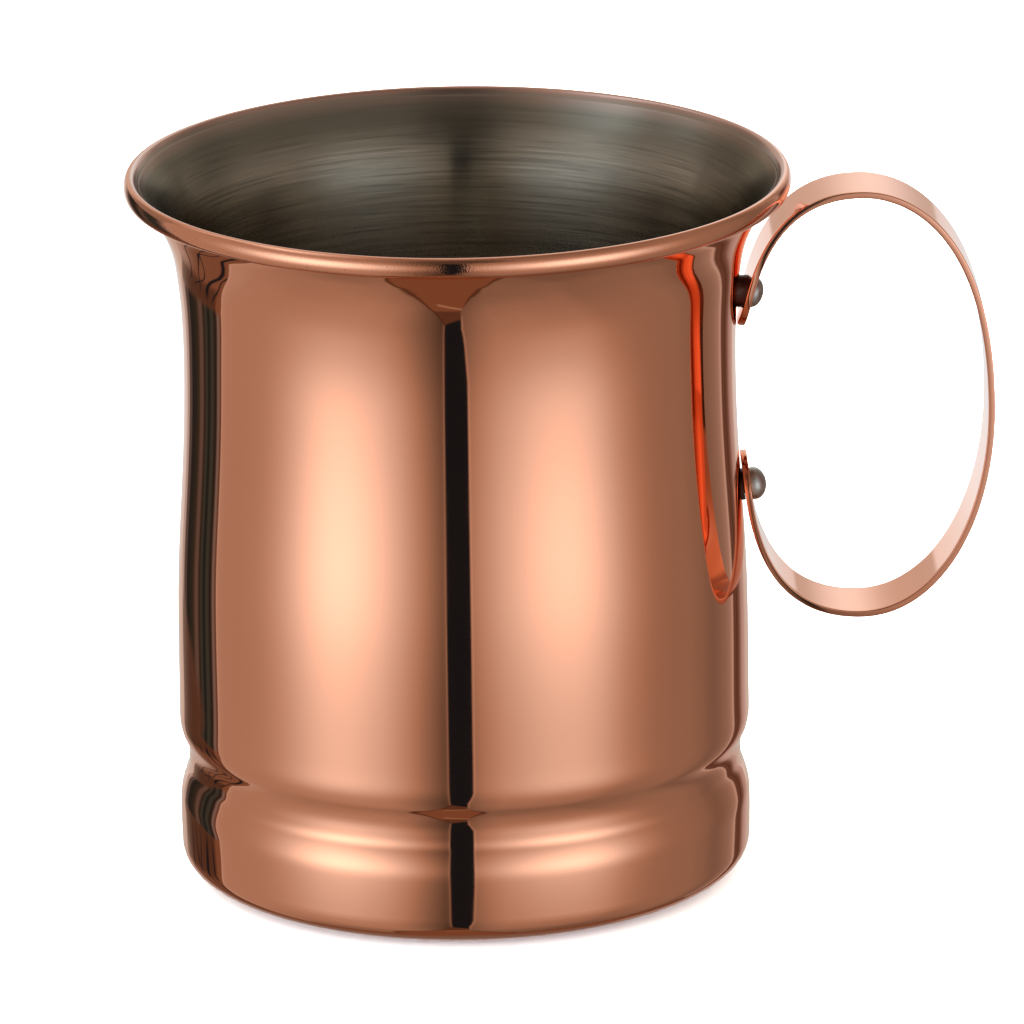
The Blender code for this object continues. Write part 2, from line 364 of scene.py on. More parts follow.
STRAP = strap_path()
STRAP_TRAVEL = np.concatenate([[0.0], np.cumsum(np.linalg.norm(np.diff(STRAP, axis=0), axis=1))])
STRAP_WAY = np.gradient(STRAP, STRAP_TRAVEL, axis=0)


def strap_at_height(height, upper):
    """Centre x of the strap at a rivet's height, and its lean from upright in radians."""
    quarter = len(STRAP) // 4
    line = STRAP[:quarter] if upper else STRAP[-quarter:]
    line = line[np.argsort(line[:, 1])]
    x, x_above = np.interp([height, height + 0.5], line[:, 1], line[:, 0])
    return float(x), math.atan2(x_above - x, 0.5)


def strap_point(travel, y, lift):
    """A point at a distance along the strap, across it, and off its middle surface."""
    line = [np.interp(travel, STRAP_TRAVEL, STRAP[:, i]) for i in (0, 1)]
    along = [np.interp(travel, STRAP_TRAVEL, STRAP_WAY[:, i]) for i in (0, 1)]
    size = math.hypot(*along)
    x = line[0] - along[1] / size * lift
    z = line[1] + along[0] / size * lift
    return Vector((x, y, z)) * MM


def make_strap(material):
    """A strip with rounded edges and half-round ends, bent along the strap's path."""
    length = STRAP_TRAVEL[-1]
    half = STRAP_WIDTH / 2
    thick = STRAP_THICKNESS / 2
    turns = [math.pi / 2 * i / STRAP_ROUND_STEPS for i in range(STRAP_ROUND_STEPS + 1)]
    # Distance in from the edge, and height, from the side wall over the round to the middle
    section = [
        (STRAP_EDGE_ROUND * (1 - math.sin(t)), thick - STRAP_EDGE_ROUND * (1 - math.cos(t)))
        for t in reversed(turns)
    ]
    section += [
        (STRAP_EDGE_ROUND + (half - STRAP_EDGE_ROUND) * i / STRAP_COLUMNS, thick)
        for i in range(1, STRAP_COLUMNS + 1)
    ]
    places = np.linspace(half, length - half, STRAP_STATIONS)
    around = [math.pi / 2 * i / STRAP_END_STEPS for i in range(STRAP_END_STEPS + 1)]
    rim = [(half * (1 - math.sin(a)), math.cos(a), math.sin(a), 1) for a in reversed(around)]
    rim += [(s, 1.0, 0.0, 0) for s in places[1:-1]]
    rim += [(length - half * (1 - math.sin(a)), math.cos(a), math.sin(a), -1) for a in around]
    ribbon = bmesh.new()
    for side in (-1, 1):
        rows = []
        for travel, across, ahead, end in rim:
            row = []
            lean = np.interp(travel / length, *zip(*STRAP_EDGE_LEANS))
            for face in (1, -1):
                line = []
                for inset, lift in section:
                    narrowing = 1 - lean * (face * lift + thick) / half
                    y = side * (half - inset) * across * narrowing
                    place = strap_point(travel + end * inset * ahead, y, face * lift)
                    line.append(ribbon.verts.new(place))
                row.append(line)
            rows.append(row[0][::-1] + row[1])
        for here, there in zip(rows, rows[1:]):
            for quad in zip(here, here[1:], there[1:], there):
                ribbon.faces.new(quad)
    bmesh.ops.remove_doubles(ribbon, verts=ribbon.verts, dist=1e-7)
    bmesh.ops.dissolve_degenerate(ribbon, edges=ribbon.edges, dist=1e-8)
    bmesh.ops.recalc_face_normals(ribbon, faces=ribbon.faces)
    mesh = bpy.data.meshes.new("strap")
    ribbon.to_mesh(mesh)
    ribbon.free()
    obj = bpy.data.objects.new("strap", mesh)
    bpy.context.scene.collection.objects.link(obj)
    piece = finished(obj, "strap_satin", material, 60.0)
    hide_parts("handle_strap")
    return piece


# ---------------------------------------------------------------- cup


def make_cup(copper, liner_metal):
    curl_outside = curl_line(0.0)
    curl_inside = curl_line(COPPER_SHEET)
    outer = sheet_to_lip(0.0, curl_inside)
    inner = sheet_to_lip(COPPER_SHEET, curl_outside)
    inner[0] = (0.0, inner[0][1])
    outline = inner + rounded_end(inner, outer) + outer[::-1]
    shell = finished(turned("shell", outline, TURN_STEPS), "shell_polished", copper)
    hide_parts("copper_shell")

    # The liner thins and closes on the copper towards its edge inside the lip
    path = [p for p in inner if p[1] <= LINER_EDGE_HEIGHT or p[0] < LINER_EDGE_RADIUS - 1.0]
    path = path[: next(i for i, p in enumerate(path) if p[0] > LINER_EDGE_RADIUS) + 1]
    heights = [z for _, z in path]
    closing = (LINER_CLOSING_HEIGHT, LINER_EDGE_HEIGHT)
    gap = np.interp(heights, closing, (LINER_GAP, LINER_EDGE_GAP))
    sheet = np.interp(heights, closing, (LINER_SHEET, LINER_EDGE_SHEET))
    liner_out = offset(path, gap)
    liner_in = offset(path, gap + sheet)
    outline = liner_in + rounded_end(liner_in, liner_out, 5) + liner_out[::-1]
    liner = finished(turned("liner", outline, TURN_STEPS), "liner_brushed", liner_metal)
    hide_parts("steel_liner")
    return shell, liner


# ---------------------------------------------------------------- handle joints


def dome(head, base):
    """Points of a dome head from its softened rim to its top, standing on the height base."""
    radius, side = head["radius"], head["side"]
    rise = head["height"] - side
    soft = min(side, 0.18)
    points = []
    for i in range(5):
        turn = math.pi / 2 * (1 - i / 4)
        points.append((radius - soft + soft * math.cos(turn), base + soft - soft * math.sin(turn)))
    for i in range(1, 28):
        turn = math.pi / 2 * i / 28
        points.append((radius * math.cos(turn), base + side + rise * math.sin(turn)))
    points.append((0.0, base + head["height"]))
    return points


def make_joint(prefix, rivet_metal, painted_shade_metal):
    head = HEADS[prefix]
    height = head["z"]
    strap_x, lean = strap_at_height(height, prefix == "upper")
    wall = wall_radius(height)
    inside = wall - COPPER_SHEET - LINER_GAP - LINER_SHEET
    washer_face = inside - WASHER_RADIUS**2 / (2 * inside)
    closed_face = washer_face - WASHER_THICKNESS
    seat = STRAP_THICKNESS / 2

    head_form = turned("head_form", dome(head, seat)[::-1] + [(0.0, seat)], RIVET_STEPS)
    head_form.matrix_world = along_x(strap_x, height, lean)
    closed = [(r, -z) for r, z in dome(CLOSED_HEAD, 0.0)]
    shank_end = strap_x + seat + head["side"] - closed_face
    shank = [(0.0, shank_end), (SHANK_RADIUS, shank_end), (SHANK_RADIUS, 0.0)]
    rivet = turned("rivet", shank + closed, RIVET_STEPS)
    rivet.matrix_world = along_x(closed_face, height)
    boolean(rivet, head_form, "UNION")
    piece = finished(rivet, f"rivet_{prefix}", rivet_metal)
    bpy.data.objects.remove(head_form, do_unlink=True)
    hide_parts(f"{prefix}_rivet")

    # The washer and the spacer take the dark red-brown metal with painted shade and painted copper
    # reflection
    ring = [
        (HOLE_RADIUS, WASHER_THICKNESS),
        (WASHER_RADIUS - 0.1, WASHER_THICKNESS),
        (WASHER_RADIUS, WASHER_THICKNESS - 0.1),
        (WASHER_RADIUS, 0.1),
        (WASHER_RADIUS - 0.1, 0.0),
        (HOLE_RADIUS, 0.0),
        (HOLE_RADIUS, WASHER_THICKNESS),
    ]
    washer = turned("washer", ring, RIVET_STEPS)
    washer.matrix_world = along_x(closed_face, height)
    piece = finished(washer, f"washer_{prefix}", painted_shade_metal)
    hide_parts(f"{prefix}_washer")

    # The spacer's ends follow the round wall and the leaning strap.
    ring = [(HOLE_RADIUS, 1.0), (SPACER_RADIUS, 1.0)]
    ring += [(SPACER_RADIUS, 1.0 - i / 8) for i in range(1, 8)]
    ring += [(SPACER_RADIUS, 0.0), (HOLE_RADIUS, 0.0), (HOLE_RADIUS, 1.0)]
    spacer = turned("spacer", ring, RIVET_STEPS)
    spacer.matrix_world = along_x(0.0, 0.0)
    piece = finished(spacer, f"spacer_{prefix}", painted_shade_metal)
    for vertex in piece.data.vertices:
        share, y, up = vertex.co / MM
        z = height + up
        wall_x = math.sqrt(wall_radius(z) ** 2 - y**2)
        back = strap_x + up * math.tan(lean) - seat / math.cos(lean)
        vertex.co = Vector((wall_x + (back - wall_x) * share, y, z)) * MM
    piece.data.update()
    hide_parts(f"{prefix}_spacer")


# ---------------------------------------------------------------- node formulas


class Value:
    """A number in a node tree. Arithmetic on it adds Math nodes, so a formula reads as one."""

    def __init__(self, tree, socket):
        self.tree, self.socket = tree, socket

    def math(self, operation, *others):
        node = self.tree.nodes.new("ShaderNodeMath")
        node.operation = operation
        for place, value in zip(node.inputs, (self, *others)):
            if isinstance(value, Value):
                self.tree.links.new(value.socket, place)
            else:
                place.default_value = value
        return Value(self.tree, node.outputs[0])

    def __add__(self, other):
        return self.math("ADD", other)

    def __sub__(self, other):
        return self.math("SUBTRACT", other)

    def __mul__(self, other):
        return self.math("MULTIPLY", other)

    def __truediv__(self, other):
        return self.math("DIVIDE", other)

    def __pow__(self, other):
        return self.math("POWER", other)

    __radd__, __rmul__ = __add__, __mul__

    def __rsub__(self, other):
        return self * -1.0 + other

    def ramp(self, low, high):
        """0 below low, 1 above high, smooth between."""
        node = self.tree.nodes.new("ShaderNodeMapRange")
        node.interpolation_type = "SMOOTHSTEP"
        self.tree.links.new(self.socket, node.inputs["Value"])
        node.inputs["From Min"].default_value = low
        node.inputs["From Max"].default_value = high
        return Value(self.tree, node.outputs["Result"])

    def window(self, low, high, soft):
        """1 between low and high, 0 outside, with soft edges."""
        return self.ramp(low - soft, low + soft) * (1.0 - self.ramp(high - soft, high + soft))

    def lobe(self, centre, below, above, power=2.0):
        """A bell with its own width on each side of centre."""
        away = self - centre
        left = (away / -below).math("MAXIMUM", 0.0)
        right = (away / above).math("MAXIMUM", 0.0)
        return ((left + right) ** power * -1.0).math("EXPONENT")

    def over(self, below, mask):
        """This value where mask is 1, and below where it is 0."""
        return below + (self - below) * mask

    def table(self, points):
        """The colour or grey read off a line through (value, colour or grey) points."""
        low, high = points[0][0], points[-1][0]
        share = (self - low) / (high - low)
        node = self.tree.nodes.new("ShaderNodeValToRGB")
        stops = node.color_ramp.elements
        for i, (value, color) in enumerate(points):
            position = (value - low) / (high - low)
            stop = stops.new(position) if 0 < i < len(points) - 1 else stops[0 if i == 0 else -1]
            stop.position = position
            stop.color = (*color, 1.0) if isinstance(color, tuple) else (color, color, color, 1.0)
        self.tree.links.new(share.socket, node.inputs[0])
        return Value(self.tree, node.outputs["Color"])


def blend(mask, below, above):
    """The colour above where mask is 1, and the colour below where it is 0."""
    node = mask.tree.nodes.new("ShaderNodeMix")
    node.data_type = "RGBA"
    node.clamp_factor = True
    mask.tree.links.new(mask.socket, node.inputs[0])
    for place, color in ((node.inputs[6], below), (node.inputs[7], above)):
        if isinstance(color, Value):
            mask.tree.links.new(color.socket, place)
        else:
            place.default_value = (*color, 1.0)
    return Value(mask.tree, node.outputs[2])


def tree_of(owner):
    owner.use_nodes = True
    owner.node_tree.nodes.clear()
    return owner.node_tree


def split(tree, vector):
    node = tree.nodes.new("ShaderNodeSeparateXYZ")
    tree.links.new(vector, node.inputs[0])
    return [Value(tree, socket) for socket in node.outputs]


# ---------------------------------------------------------------- materials


class Metal:
    """A metal under construction: its node tree, its shader and its surface points in mm."""

    def __init__(self, name, roughness, **settings):
        self.material = bpy.data.materials.new(name)
        self.material.use_nodes = True
        self.tree = self.material.node_tree
        self.shader = self.tree.nodes["Principled BSDF"]
        self.shader.inputs["Metallic"].default_value = 1.0
        self.shader.inputs["Roughness"].default_value = roughness
        for key, value in settings.items():
            self.shader.inputs[key.replace("_", " ")].default_value = value
        place = self.tree.nodes.new("ShaderNodeTexCoord").outputs["Object"]
        self.place = self.tree.nodes.new("ShaderNodeVectorMath")
        self.place.operation = "SCALE"
        self.place.inputs["Scale"].default_value = 1 / MM
        self.tree.links.new(place, self.place.inputs[0])
        self.x, self.y, self.z = split(self.tree, self.place.outputs[0])
        self.radius = (self.x * self.x + self.y * self.y).math("SQRT")

    def noise(self, size_mm, stretch=(1.0, 1.0, 1.0), detail=3.0):
        """Noise about 0.5 with features of a size, stretched along the axes."""
        scaled = self.tree.nodes.new("ShaderNodeVectorMath")
        scaled.operation = "MULTIPLY"
        self.tree.links.new(self.place.outputs[0], scaled.inputs[0])
        scaled.inputs[1].default_value = [1 / (size_mm * s) for s in stretch]
        noise = self.tree.nodes.new("ShaderNodeTexNoise")
        noise.inputs["Scale"].default_value = 1.0
        noise.inputs["Detail"].default_value = detail
        self.tree.links.new(scaled.outputs[0], noise.inputs["Vector"])
        return Value(self.tree, noise.outputs["Fac"])

    def set(self, key, value):
        self.tree.links.new(value.socket, self.shader.inputs[key])

    def relief(self, height_mm):
        """Bumps the surface by a height in mm."""
        bump = self.tree.nodes.new("ShaderNodeBump")
        bump.inputs["Distance"].default_value = MM
        self.tree.links.new(height_mm.socket, bump.inputs["Height"])
        self.tree.links.new(bump.outputs["Normal"], self.shader.inputs["Normal"])


# Colours, as darker and lighter tones where there are two. Places are in mm.
COPPER_TONES = ((0.93, 0.385, 0.225), (0.97, 0.415, 0.245))
PIT_COLOR = (0.20, 0.09, 0.06)
LIP_HEIGHTS = (100.2, 100.8)
LIP_TOP_HEIGHTS = (100.9, 101.3)
# Pale band round the top of the lip: a painted highlight line, also made a little rougher
LIP_PAINTED_HIGHLIGHT = {"radii": (46.3, 46.85), "share": 0.85, "color": (0.63, 0.40, 0.33)}
LIP_INSIDE = {"radii": (45.62, 46.0), "share": 0.8, "color": (0.42, 0.35, 0.28)}
STRAP_TONES = ((0.93, 0.385, 0.225), (0.97, 0.42, 0.25))
STRAP_EDGE = {"across": (5.50, 5.62), "share": 0.5, "color": (0.80, 0.36, 0.23)}
LINER_TONES = ((0.38, 0.33, 0.26), (0.48, 0.415, 0.325))
LINER_BRIGHT_LINES = (0.58, 0.495, 0.395)
LINER_DARK_LINES = (0.22, 0.19, 0.155)
LINER_CLOUDS = (0.31, 0.27, 0.22)
# Darker band on the liner's flare under the lip: painted shade
LINER_FLARE_PAINTED_SHADE = {"heights": (95.5, 99.5), "share": 0.75, "color": (0.22, 0.185, 0.14)}
LINER_EDGE = {"heights": (100.6, 102.2), "share": 0.7, "color": (0.52, 0.36, 0.29)}
LINER_GRAZING_TINT = (0.50, 0.49, 0.47, 1.0)
RIVET_TONES = ((0.40, 0.36, 0.32), (0.60, 0.545, 0.49))
# Dark red-brown of the spacers, also given to the washers: painted shade between wall and strap,
# and a painted reflection of the copper
SPACER_PAINTED_SHADE_TONES = ((0.13, 0.075, 0.06), (0.22, 0.14, 0.12))


def polished_copper():
    """Mirror copper: faint waves and smudges, a grainier lip, a painted highlight line and a grey
    inner edge on it.
    """
    metal = Metal("polished_copper", 0.05)
    on_lip = metal.z.ramp(*LIP_HEIGHTS)
    on_top = metal.z.ramp(*LIP_TOP_HEIGHTS)
    # The pale band on the lip top is a painted highlight
    painted_lip_highlight = (1.0 - metal.radius.ramp(*LIP_PAINTED_HIGHLIGHT["radii"])) * on_top
    inside = (1.0 - metal.radius.ramp(*LIP_INSIDE["radii"])) * on_top
    waves = metal.noise(9.0)
    grain = metal.noise(0.3)
    smudge = metal.noise(14.0, detail=5.0)
    pits = metal.noise(0.35, detail=1.0).ramp(0.70, 0.78) * metal.noise(5.0).ramp(0.50, 0.60)
    tone = metal.noise(30.0, detail=2.0)
    copper = blend(tone, *COPPER_TONES)
    copper = blend(pits * on_lip * 0.75, copper, PIT_COLOR)
    copper = blend(painted_lip_highlight * LIP_PAINTED_HIGHLIGHT["share"], copper, LIP_PAINTED_HIGHLIGHT["color"])
    metal.set("Base Color", blend(inside * LIP_INSIDE["share"], copper, LIP_INSIDE["color"]))
    dullness = smudge.ramp(0.35, 0.7) * 0.02 + on_lip * 0.02 + painted_lip_highlight * 0.12 + inside * 0.08
    metal.set("Roughness", dullness + 0.028)
    metal.relief(waves * 0.0012 + grain * on_lip * 0.011)
    return metal.material


def strap_copper():
    """Copper strip, polished a little less, with fine lines along it and dull edges."""
    metal = Metal("strap_copper", 0.11)
    lines = metal.noise(0.10, stretch=(30.0, 1.0, 30.0), detail=2.0)
    cloud = metal.noise(6.0)
    edge = metal.y.math("ABSOLUTE").ramp(*STRAP_EDGE["across"])
    copper = blend(cloud, *STRAP_TONES)
    metal.set("Base Color", blend(edge * STRAP_EDGE["share"], copper, STRAP_EDGE["color"]))
    metal.set("Roughness", lines * 0.02 + cloud * 0.02 + edge * 0.06 + 0.035)
    metal.relief(lines * 0.0001 + cloud * 0.0006)
    return metal.material


def brushed_steel():
    """Dull steel with fine scratches running round it, seen as a highlight drawn out upwards."""
    metal = Metal(
        "brushed_steel",
        0.3,
        Anisotropic=0.97,
        Anisotropic_Rotation=0.25,
        Specular_Tint=LINER_GRAZING_TINT,
    )
    tangent = metal.tree.nodes.new("ShaderNodeTangent")
    tangent.direction_type = "RADIAL"
    tangent.axis = "Z"
    metal.tree.links.new(tangent.outputs[0], metal.shader.inputs["Tangent"])
    fine = metal.noise(0.3, stretch=(50.0, 50.0, 1.0), detail=3.0)
    broad = metal.noise(1.6, stretch=(14.0, 14.0, 1.0), detail=4.0)
    cloud = metal.noise(20.0, detail=3.0)
    steel = blend(broad.ramp(0.3, 0.7), *LINER_TONES)
    steel = blend(fine.ramp(0.54, 0.70) * 0.6, steel, LINER_BRIGHT_LINES)
    steel = blend(fine.ramp(0.46, 0.32) * 0.6, steel, LINER_DARK_LINES)
    steel = blend(cloud.ramp(0.55, 0.75) * 0.35, steel, LINER_CLOUDS)
    # The flare band is painted shade on the liner; the edge band tints its top edge
    for ring in (LINER_FLARE_PAINTED_SHADE, LINER_EDGE):
        steel = blend(metal.z.ramp(*ring["heights"]) * ring["share"], steel, ring["color"])
    metal.set("Base Color", steel)
    metal.set("Roughness", broad * 0.06 + cloud * 0.04 + 0.19)
    metal.relief(fine * 0.001 + broad * 0.0012)
    return metal.material


def grainy_steel(name, dark, light, roughness):
    """Tumbled steel with a fine grain."""
    metal = Metal(name, roughness)
    grain = metal.noise(0.22, detail=3.0)
    cloud = metal.noise(1.4)
    metal.set("Base Color", blend(cloud.ramp(0.3, 0.7), dark, light))
    metal.set("Roughness", grain * 0.16 + cloud * 0.08 + roughness - 0.12)
    metal.relief(grain * 0.018 + cloud * 0.008)
    return metal.material


make_cup(polished_copper(), brushed_steel())
make_strap(strap_copper())
rivet_metal = grainy_steel("rivet_steel", *RIVET_TONES, 0.41)
# Spacers and washers get a dark red-brown steel: painted shade and a painted copper reflection
painted_shade_metal = grainy_steel("spacer_steel", *SPACER_PAINTED_SHADE_TONES, 0.42)
for side in HEADS:
    make_joint(side, rivet_metal, painted_shade_metal)


# ---------------------------------------------------------------- camera


def make_camera():
    data = bpy.data.cameras.new("camera")
    data.sensor_width = SENSOR_WIDTH
    data.lens = LENS
    data.clip_end = 10.0
    camera = bpy.data.objects.new("camera", data)
    bpy.context.scene.collection.objects.link(camera)
    azimuth, elevation = math.radians(VIEW_AZIMUTH_DEG), math.radians(VIEW_ELEVATION_DEG)
    turn = (
        Matrix.Rotation(azimuth, 4, "Z")
        @ Matrix.Rotation(math.pi / 2 - elevation, 4, "X")
        @ Matrix.Rotation(math.radians(VIEW_ROLL_DEG), 4, "Z")
    )
    back = turn @ Vector((0.0, 0.0, VIEW_DISTANCE * MM))
    camera.matrix_world = Matrix.Translation(Vector(VIEW_TARGET) * MM + back) @ turn
    bpy.context.scene.camera = camera


# ---------------------------------------------------------------- studio


# Angles in degrees: azimuth from the camera, + towards the handle, and elevation.
# The panels' bases and feet, the backdrop, the stripes and the two tint tables are not designed
# values. They were set from a helper script's readings of the reflections in the photo, averaged
# and rounded by hand. The stripes are the closest: medians for each degree of azimuth.
# A panel's light is an even base plus one soft hot spot; its foot stands on a table.
LEFT_PANEL = {
    "edges": (-115.8, -6.0),
    "base": (
        (-116, 0.43),
        (-111, 0.39),
        (-88, 0.39),
        (-60, 0.45),
        (-46, 0.45),
        (-32, 0.39),
        (-24, 0.30),
        (-16, 0.18),
        (-8, 0.08),
        (-6, 0.10),
    ),
    "hot": {"azimuth": -50.0, "out": 22.3, "in": 27.0, "gain": 1.68},
    "foot": (
        (-116, -60),
        (-104, -72),
        (-90, -77),
        (-64, -72),
        (-51, -69),
        (-39, -65),
        (-33, -64),
        (-23, -61.7),
        (-14.5, -55.2),
        (-10, -48.5),
        (-6, -38.5),
    ),
}
RIGHT_PANEL = {
    "edges": (3.2, 138.2),
    "base": (
        (3, 0.20),
        (8, 0.26),
        (16, 0.33),
        (30, 0.35),
        (56, 0.33),
        (66, 0.28),
        (100, 0.27),
        (110, 0.235),
        (114, 0.205),
        (118, 0.19),
        (122, 0.20),
        (126, 0.225),
        (130, 0.255),
        (133, 0.29),
        (135.4, 0.335),
        (136.4, 0.45),
        (138.2, 0.49),
    ),
    "hot": {"azimuth": 43.0, "in": 29.0, "out": 22.5, "gain": 1.5},
    "foot": (
        (1, -53.5),
        (4, -60.3),
        (8, -64),
        (14, -66),
        (26, -72.5),
        (39, -76.5),
        (60, -78.5),
        (90, -78),
        (104, -66),
        (120, -50),
        (136, -45),
    ),
}
# Share of a panel's even light, by elevation
PANEL_FADE = ((-90, 0.5), (-64, 0.64), (-56, 0.84), (-44, 0.97), (-36, 1.0), (90, 1.0))
PANEL_TOP = (30.0, 46.0)
HOT_BELOW = 19.3
HOT_ABOVE = 17.5
FOOT_STEP = 6.0
# Below an elevation, each panel's left edge runs to the left for a length
LEFT_EDGE_LEAN = {"below": -22.0, "length": 16.0, "share": 0.45}
RIGHT_EDGE_LEAN = {"below": -20.0, "length": 15.7, "share": 0.14}
# The left panel's top rises to the left of an azimuth
TOP_RISE = {"left_of": -50.0, "share": 0.3}
# Half width of an edge, and the brighter hems: azimuth and gain
HEM = 0.3
HEMS = ((-115.0, 0.12), (-6.4, 0.10), (3.9, 0.12))
HEM_HEIGHTS = (-48.0, 30.0)
FOOT_HEM = {"middle": -0.4, "half": 0.7, "share": 0.8, "color": (0.05, 0.025, 0.015)}

# Backdrop behind the mug, then ceiling and lamp
BACKDROP = (
    (-90, 0.15),
    (-50, 0.20),
    (-32, 0.42),
    (-18, 0.55),
    (-12, 0.84),
    (-2, 0.88),
    (-0.7, 0.86),
    (0.5, 0.57),
    (5, 0.57),
    (9, 0.60),
    (19, 0.62),
    (40, 0.60),
    (90, 0.40),
)
BACKDROP_GLOWS = (
    {"azimuth": 171.0, "widths": (12.0, 11.0), "heights": (1.0, 16.0, 30.0, 60.0), "gain": 0.58},
    {"azimuth": 184.0, "widths": (12.0, 12.0), "heights": (-24.0, -16.0, -0.7, 0.5), "gain": 0.30},
)
BACKDROP_START = (140.0, 156.0)
CEILING = ((20, 0.26), (45, 0.27), (65, 0.22), (90, 0.15))
DARK_FRONT = {"azimuth": -1.0, "width": 22.0, "light": 0.08, "end": (60.0, 80.0)}
LAMP = {"azimuth": -103.0, "elevation": 56.0, "width": 40.0, "height": 16.0, "gain": 1.15}

# Brown table below the panels, with a shaded middle, a rail at its edge and a batten on it
TABLE_BROWN = (0.195, 0.122, 0.08)
TABLE_EDGE = (-19.0, -18.0)
TABLE_SHADE = {"azimuths": (-14.0, 6.0), "heights": (-54.0, -30.0), "color": (0.10, 0.065, 0.045)}
RAIL = {
    "azimuths": (-154.0, -120.0),
    "heights": (-26.0, -19.0),
    "share": 0.65,
    "color": (0.030, 0.022, 0.018),
}
BATTEN = {
    "azimuths": (-12.0, 2.0),
    "height": -56.6,
    "half": 0.7,
    "tilt": 0.25,
    "color": (0.36, 0.32, 0.28),
}

# Black slit between the panels for the lens, with a slanting lower end
BLACK = (0.010, 0.016, 0.026)
SLIT = {"azimuths": (-6.0, 3.3), "heights": (-44.4, 32.0), "tilt": 0.8}

# Stands, cloth rolls and cases beside the panels, seen as upright stripes
LEFT_STRIPES = (
    (-156.0, (0.47, 0.445, 0.42)),
    (-152.6, (0.46, 0.46, 0.45)),
    (-151.5, (0.31, 0.31, 0.30)),
    (-150.5, (0.145, 0.13, 0.115)),
    (-149.5, (0.075, 0.057, 0.047)),
    (-148.5, (0.105, 0.10, 0.095)),
    (-147.5, (0.10, 0.10, 0.10)),
    (-146.5, (0.05, 0.05, 0.05)),
    (-145.5, (0.022, 0.022, 0.022)),
    (-141.5, (0.024, 0.030, 0.027)),
    (-138.0, (0.036, 0.036, 0.028)),
    (-136.5, (0.06, 0.055, 0.044)),
    (-135.5, (0.10, 0.093, 0.082)),
    (-134.0, (0.12, 0.11, 0.105)),
    (-132.4, (0.105, 0.10, 0.098)),
    (-131.5, (0.05, 0.045, 0.035)),
    (-130.5, (0.032, 0.03, 0.025)),
    (-128.7, (0.045, 0.07, 0.07)),
    (-127.5, (0.028, 0.045, 0.048)),
    (-126.4, (0.014, 0.020, 0.020)),
    (-125.5, (0.020, 0.032, 0.031)),
    (-124.2, (0.043, 0.068, 0.070)),
    (-122.5, (0.041, 0.063, 0.063)),
    (-121.5, (0.030, 0.037, 0.034)),
    (-120.5, (0.020, 0.018, 0.014)),
    (-119.5, (0.06, 0.06, 0.06)),
    (-118.4, (0.20, 0.23, 0.26)),
    (-117.5, (0.19, 0.19, 0.19)),
    (-116.4, (0.11, 0.07, 0.055)),
    (-115.0, (0.20, 0.15, 0.13)),
)
RIGHT_STRIPES = (
    (137.6, (0.30, 0.28, 0.27)),
    (138.5, (0.21, 0.165, 0.145)),
    (139.5, (0.117, 0.063, 0.043)),
    (141.0, (0.137, 0.087, 0.065)),
    (142.5, (0.108, 0.058, 0.038)),
    (143.5, (0.111, 0.060, 0.040)),
    (144.5, (0.140, 0.090, 0.068)),
    (146.5, (0.193, 0.128, 0.103)),
    (148.5, (0.33, 0.267, 0.245)),
    (150.5, (0.423, 0.357, 0.333)),
    (152.5, (0.478, 0.403, 0.380)),
    (156.0, (0.52, 0.46, 0.44)),
)
STRIPE_TOP = (6.0, 10.0)
# The table and the feet of the stripes rise to the left of an azimuth
TABLE_RISE = {"left_of": -121.0, "share": 0.10}
LEFT_STRIPE_FOOT = -20.0
RIGHT_STRIPE_FOOT = -55.0
# Loose cables on the table: azimuth, sway, radians of sway per degree, phase, half width
CABLE_HEIGHTS = (-50.0, -21.0)
CABLES = (
    (-146.0, 2.5, 0.50, 0.0, 0.5),
    (-137.0, 3.5, 0.42, 0.0, 0.5),
    (-137.0, 3.5, 0.38, 3.1, 0.45),
    (-127.0, 1.5, 0.35, 1.0, 1.3),
    (-121.8, 1.0, 0.50, 2.0, 0.5),
)

# Light to colour: dim light is warm and bright light cool, as from lamps behind white cloth.
# Rows 0.38 to 1.38 of the first table follow readings down one column of the photo.
TINTED_LIGHT = (
    (0.00, (0.00, 0.00, 0.00)),
    (0.12, (0.13, 0.12, 0.105)),
    (0.38, (0.42, 0.38, 0.345)),
    (0.45, (0.47, 0.45, 0.43)),
    (0.56, (0.55, 0.56, 0.57)),
    (0.70, (0.64, 0.70, 0.75)),
    (0.91, (0.78, 0.91, 1.01)),
    (1.15, (0.97, 1.15, 1.30)),
    (1.38, (1.25, 1.38, 1.52)),
    (1.80, (1.75, 1.80, 2.02)),
    (2.40, (2.40, 2.40, 2.60)),
)
BACKDROP_TINT = (
    (0.00, (0.00, 0.00, 0.00)),
    (0.38, (0.43, 0.38, 0.35)),
    (0.55, (0.60, 0.55, 0.49)),
    (0.65, (0.66, 0.65, 0.60)),
    (0.75, (0.73, 0.75, 0.73)),
    (0.90, (0.85, 0.90, 0.91)),
    (1.05, (0.95, 1.05, 1.08)),
    (1.20, (1.05, 1.20, 1.25)),
    (1.60, (1.40, 1.60, 1.66)),
)
FLOOR_LIGHT = 9.0


def foot_line(azimuth, points):
    """Elevation of a panel's lower edge."""
    smooth = natural_cubic([(height / -90, place) for place, height in points], FOOT_STEP)
    return azimuth.table([(place, height) for height, place in smooth]) * -90.0


def hot_spot(azimuth, elevation, spec):
    left, right = (spec["out"], spec["in"]) if spec["azimuth"] < 0 else (spec["in"], spec["out"])
    across = azimuth.lobe(spec["azimuth"], left, right, 2.05)
    return across * elevation.lobe(0.0, HOT_BELOW, HOT_ABOVE, 2.2) * spec["gain"]


def lit_panel(azimuth, elevation, spec):
    """Brightness of a panel."""
    even = azimuth.table(spec["base"]) * elevation.table(PANEL_FADE)
    return even + hot_spot(azimuth, elevation, spec["hot"])


